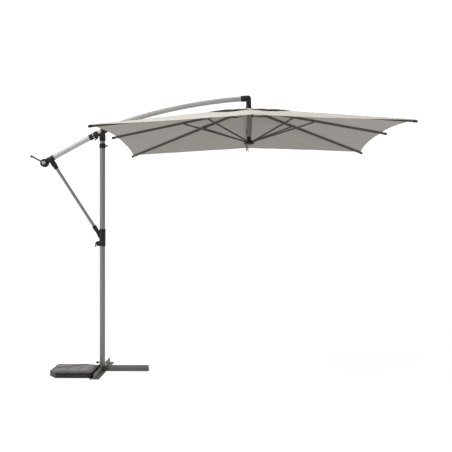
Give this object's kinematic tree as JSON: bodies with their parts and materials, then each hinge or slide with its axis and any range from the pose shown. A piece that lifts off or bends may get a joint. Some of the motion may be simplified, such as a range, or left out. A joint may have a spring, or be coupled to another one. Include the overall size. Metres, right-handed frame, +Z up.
{
  "type": "cantilever parasol",
  "caption": "Cantilever parasol: square vented canopy on folding ribs, hung from a curved crank boom that tilts on a side mast with a cross foot and a weight slab.",
  "frame": {"origin": "mast axis on the ground, on the underside of the foot's long bar", "axes": "+X towards the canopy, +Y to the rear, +Z up"},
  "size_m": [3.2801, 2.5434, 2.5465],
  "materials": {
    "silver_tube": "silver-grey powder coat on drawn tube",
    "dark_steel": "dark grey-brown powder coat on rolled steel channel",
    "foot_steel": "grey matt powder coat on steel angle",
    "zinc": "zinc plated",
    "black_nylon": "moulded black nylon, fine texture",
    "slab_shell": "blow-moulded black polyethylene",
    "concrete": "cast concrete filling",
    "cloth": "woven cream polyester",
    "rope": "braided polyester"
  },
  "bodies": {
    "foot": {"foot_long_bar": "foot_steel", "foot_leg_left": "foot_steel", "foot_leg_right": "foot_steel", "foot_bracket_front_left": "dark_steel", "foot_bracket_front_right": "dark_steel", "foot_bracket_rear_left": "dark_steel", "foot_bracket_rear_right": "dark_steel", "foot_plate": "zinc", "weight_shell": "slab_shell", "weight_core": "concrete", "weight_plug": "slab_shell"},
    "mast": {"mast_tube": "silver_tube", "mast_inner_tube": "silver_tube", "mast_top_collar": "black_nylon", "mast_head": "black_nylon", "boom_pivot_pin": "zinc"},
    "mast_foot_knob": {"mast_foot_knob": "black_nylon"},
    "top_collar_knob": {"top_collar_knob": "black_nylon"},
    "boom": {"boom_rear_tube": "silver_tube", "boom_front_tube": "silver_tube", "boom_splice": "zinc", "boom_joint_ring": "black_nylon", "boom_saddle": "black_nylon", "boom_elbow": "black_nylon", "centre_pole": "silver_tube", "crown": "black_nylon", "crank_housing": "black_nylon", "crank_cover": "black_nylon", "lift_rope": "rope", "canopy": "cloth", "vent_cap": "cloth"},
    "saddle_lever": {"saddle_lever": "black_nylon"},
    "crank": {"rope_drum": "black_nylon", "crank_arm": "black_nylon"},
    "crank_grip": {"crank_grip": "black_nylon"},
    "collar": {"slide_collar": "black_nylon", "stay_pin": "zinc"},
    "collar_lever": {"collar_lever": "black_nylon"},
    "stay": {"stay_tube": "silver_tube", "stay_lower_sleeve": "black_nylon", "stay_upper_fork": "black_nylon"},
    "runner": {"runner": "black_nylon", "rope_tail": "rope", "rope_knot": "rope"},
    "rib_right": {"rib_right": "dark_steel"},
    "rib_rear_right": {"rib_rear_right": "dark_steel"},
    "rib_rear": {"rib_rear": "dark_steel"},
    "rib_rear_left": {"rib_rear_left": "dark_steel"},
    "rib_left": {"rib_left": "dark_steel"},
    "rib_front_left": {"rib_front_left": "dark_steel"},
    "rib_front": {"rib_front": "dark_steel"},
    "rib_front_right": {"rib_front_right": "dark_steel"},
    "stretcher_right": {"stretcher_right": "dark_steel"},
    "stretcher_rear_right": {"stretcher_rear_right": "dark_steel"},
    "stretcher_rear": {"stretcher_rear": "dark_steel"},
    "stretcher_rear_left": {"stretcher_rear_left": "dark_steel"},
    "stretcher_left": {"stretcher_left": "dark_steel"},
    "stretcher_front_left": {"stretcher_front_left": "dark_steel"},
    "stretcher_front": {"stretcher_front": "dark_steel"},
    "stretcher_front_right": {"stretcher_front_right": "dark_steel"}
  },
  "joints": [
    {"name": "mast_swivel", "type": "hinge", "parent": "foot", "child": "mast", "pos_m": [0, 0, 0.0556], "axis": [0, 0, 1], "continuous": true},
    {"name": "mast_foot_knob_turn", "type": "hinge", "parent": "mast", "child": "mast_foot_knob", "pos_m": [-0.02195, -0.01197, 0.078], "axis": [-0.878, -0.4787, 0], "continuous": true},
    {"name": "top_collar_knob_turn", "type": "hinge", "parent": "mast", "child": "top_collar_knob", "pos_m": [0.0296, 0, 2.08], "axis": [1, 0, 0], "continuous": true},
    {"name": "boom_tilt", "type": "hinge", "parent": "mast", "child": "boom", "pos_m": [0, 0, 2.178], "axis": [0, 1, 0], "range_deg": [0, 25]},
    {"name": "saddle_lever_turn", "type": "hinge", "parent": "boom", "child": "saddle_lever", "pos_m": [-0.04466, 0, 2.15575], "axis": [0, 1, 0], "range_deg": [-60, 0]},
    {"name": "collar_slide", "type": "slide", "parent": "mast", "child": "collar", "axis": [0, 0, 1], "range_m": [0, 0.262]},
    {"name": "collar_lever_turn", "type": "hinge", "parent": "collar", "child": "collar_lever", "pos_m": [-0.0572, 0, 1.186], "axis": [0, 1, 0], "range_deg": [0, 85]},
    {"name": "stay_swing", "type": "hinge", "parent": "collar", "child": "stay", "pos_m": [-0.045, 0, 1.285], "axis": [0, 1, 0], "range_deg": [-5, 0]},
    {"name": "canopy_fold", "type": "slide", "parent": "boom", "child": "runner", "axis": [0.014, 0, -0.9999], "range_m": [0, 0.9134], "deforming": ["canopy", "vent_cap"]},
    {"name": "crank_turn", "type": "hinge", "parent": "boom", "child": "crank", "pos_m": [-0.53728, 0, 1.92188], "axis": [0, 1, 0], "range_deg": [0, 3275]},
    {"name": "crank_grip_spin", "type": "hinge", "parent": "crank", "child": "crank_grip", "pos_m": [-0.63828, 0, 1.97582], "axis": [0, 1, 0], "continuous": true},
    {"name": "rib_right_fold", "type": "hinge", "parent": "boom", "child": "rib_right", "pos_m": [1.391, 0, 2.41045], "axis": [0, 1, 0], "range_deg": [0, 75]},
    {"name": "rib_rear_right_fold", "type": "hinge", "parent": "boom", "child": "rib_rear_right", "pos_m": [1.38075, 0.02475, 2.41031], "axis": [-0.707, 0.7071, -0.0099], "range_deg": [0, 75]},
    {"name": "rib_rear_fold", "type": "hinge", "parent": "boom", "child": "rib_rear", "pos_m": [1.356, 0.035, 2.40996], "axis": [-0.9999, 0, -0.014], "range_deg": [0, 75]},
    {"name": "rib_rear_left_fold", "type": "hinge", "parent": "boom", "child": "rib_rear_left", "pos_m": [1.33125, 0.02475, 2.40962], "axis": [-0.707, -0.7071, -0.0099], "range_deg": [0, 75]},
    {"name": "rib_left_fold", "type": "hinge", "parent": "boom", "child": "rib_left", "pos_m": [1.321, 0, 2.40947], "axis": [0, -1, 0], "range_deg": [0, 75]},
    {"name": "rib_front_left_fold", "type": "hinge", "parent": "boom", "child": "rib_front_left", "pos_m": [1.33125, -0.02475, 2.40962], "axis": [0.707, -0.7071, 0.0099], "range_deg": [0, 75]},
    {"name": "rib_front_fold", "type": "hinge", "parent": "boom", "child": "rib_front", "pos_m": [1.356, -0.035, 2.40996], "axis": [0.9999, 0, 0.014], "range_deg": [0, 75]},
    {"name": "rib_front_right_fold", "type": "hinge", "parent": "boom", "child": "rib_front_right", "pos_m": [1.38075, -0.02475, 2.41031], "axis": [0.707, 0.7071, 0.0099], "range_deg": [0, 75]},
    {"name": "stretcher_right_fold", "type": "hinge", "parent": "runner", "child": "stretcher_right", "pos_m": [1.39406, 0.012, 2.11946], "axis": [0, 1, 0], "range_deg": [-69, 0]},
    {"name": "stretcher_rear_right_fold", "type": "hinge", "parent": "runner", "child": "stretcher_rear_right", "pos_m": [1.37562, 0.03253, 2.11921], "axis": [-0.707, 0.7071, -0.0099], "range_deg": [-69, 0]},
    {"name": "stretcher_rear_fold", "type": "hinge", "parent": "runner", "child": "stretcher_rear", "pos_m": [1.34806, 0.034, 2.11882], "axis": [-0.9999, 0, -0.014], "range_deg": [-69, 0]},
    {"name": "stretcher_rear_left_fold", "type": "hinge", "parent": "runner", "child": "stretcher_rear_left", "pos_m": [1.32754, 0.01556, 2.11854], "axis": [-0.707, -0.7071, -0.0099], "range_deg": [-69, 0]},
    {"name": "stretcher_left_fold", "type": "hinge", "parent": "runner", "child": "stretcher_left", "pos_m": [1.32607, -0.012, 2.11851], "axis": [0, -1, 0], "range_deg": [-69, 0]},
    {"name": "stretcher_front_left_fold", "type": "hinge", "parent": "runner", "child": "stretcher_front_left", "pos_m": [1.34451, -0.03253, 2.11877], "axis": [0.707, -0.7071, 0.0099], "range_deg": [-69, 0]},
    {"name": "stretcher_front_fold", "type": "hinge", "parent": "runner", "child": "stretcher_front", "pos_m": [1.37206, -0.034, 2.11916], "axis": [0.9999, 0, 0.014], "range_deg": [-69, 0]},
    {"name": "stretcher_front_right_fold", "type": "hinge", "parent": "runner", "child": "stretcher_front_right", "pos_m": [1.39259, -0.01556, 2.11944], "axis": [0.707, 0.7071, 0.0099], "range_deg": [-69, 0]}
  ],
  "couplings": [
    {"joint": "collar_slide", "follows": "boom_tilt", "m_per_rad": 0.59769},
    {"joint": "stay_swing", "follows": "boom_tilt", "ratio": -0.19671},
    {"joint": "crank_turn", "follows": "canopy_fold", "rad_per_m": 62.5},
    {"joint": "rib_right_fold", "follows": "canopy_fold", "rad_per_m": 1.4227},
    {"joint": "rib_rear_right_fold", "follows": "canopy_fold", "rad_per_m": 1.4297},
    {"joint": "rib_rear_fold", "follows": "canopy_fold", "rad_per_m": 1.4227},
    {"joint": "rib_rear_left_fold", "follows": "canopy_fold", "rad_per_m": 1.4297},
    {"joint": "rib_left_fold", "follows": "canopy_fold", "rad_per_m": 1.4227},
    {"joint": "rib_front_left_fold", "follows": "canopy_fold", "rad_per_m": 1.4297},
    {"joint": "rib_front_fold", "follows": "canopy_fold", "rad_per_m": 1.4227},
    {"joint": "rib_front_right_fold", "follows": "canopy_fold", "rad_per_m": 1.4297},
    {"joint": "stretcher_right_fold", "follows": "canopy_fold", "rad_per_m": -1.3133},
    {"joint": "stretcher_rear_right_fold", "follows": "canopy_fold", "rad_per_m": -1.2735},
    {"joint": "stretcher_rear_fold", "follows": "canopy_fold", "rad_per_m": -1.3133},
    {"joint": "stretcher_rear_left_fold", "follows": "canopy_fold", "rad_per_m": -1.2735},
    {"joint": "stretcher_left_fold", "follows": "canopy_fold", "rad_per_m": -1.3133},
    {"joint": "stretcher_front_left_fold", "follows": "canopy_fold", "rad_per_m": -1.2735},
    {"joint": "stretcher_front_fold", "follows": "canopy_fold", "rad_per_m": -1.3133},
    {"joint": "stretcher_front_right_fold", "follows": "canopy_fold", "rad_per_m": -1.2735}
  ]
}
